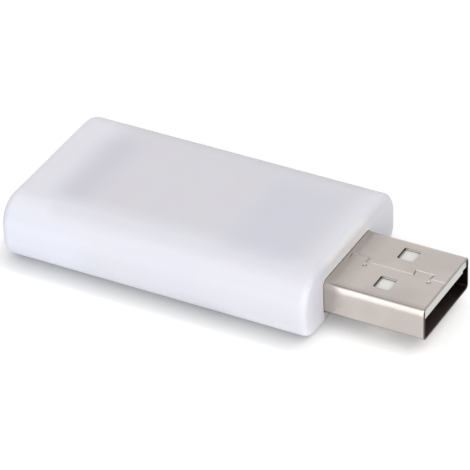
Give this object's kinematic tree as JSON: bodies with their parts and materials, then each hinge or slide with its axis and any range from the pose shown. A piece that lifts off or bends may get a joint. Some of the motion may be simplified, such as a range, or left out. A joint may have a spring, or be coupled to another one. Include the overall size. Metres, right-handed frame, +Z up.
{
  "type": "air conditioner wifi stick",
  "caption": "Small milky-white plastic stick with rounded long edges and a USB-A plug on one end, which puts an air conditioner on a home wireless network.",
  "frame": {"origin": "centre of the bounding box at the surface that the stick lies on", "axes": "+X along the stick towards the plug, +Z up through its thickness, the tongue side of the plug uppermost"},
  "size_m": [0.0532, 0.0238, 0.0082],
  "materials": {
    "milky_plastic": "translucent milky white, satin moulded",
    "plated_steel": "nickel-plated folded sheet",
    "white_plastic": "white moulded insulator",
    "gilt_contact": "gold-flashed contact",
    "board": "solder-resist coated glass-epoxy",
    "module_board": "solder-resist coated glass-epoxy",
    "can_steel": "tinned drawn sheet",
    "chip_black": "moulded epoxy",
    "chip_brown": "fired ceramic with tinned ends",
    "chip_grey": "ferrite with tinned ends",
    "lamp_clear": "clear cast resin on a white base"
  },
  "bodies": {
    "root": {"housing_sleeve": "milky_plastic", "rear_cap": "milky_plastic", "usb_shell": "plated_steel", "usb_insulator": "white_plastic", "contact_power": "gilt_contact", "contact_data_minus": "gilt_contact", "contact_data_plus": "gilt_contact", "contact_ground": "gilt_contact", "circuit_board": "board", "module_board": "module_board", "shield_can": "can_steel", "radio_chip": "chip_black", "flash_chip": "chip_black", "clock_crystal": "can_steel", "matching_part_1": "chip_brown", "matching_part_2": "chip_brown", "matching_part_3": "chip_brown", "level_transistor_1": "chip_black", "level_transistor_2": "chip_black", "surge_diode": "chip_black", "voltage_regulator": "chip_black", "input_capacitor": "chip_brown", "output_capacitor": "chip_brown", "ferrite_bead": "chip_grey", "pull_up_resistor_1": "chip_black", "pull_up_resistor_2": "chip_black", "pull_up_resistor_3": "chip_black", "pull_up_resistor_4": "chip_black", "lamp_resistor": "chip_black", "signal_lamp": "lamp_clear"}
  },
  "joints": []
}
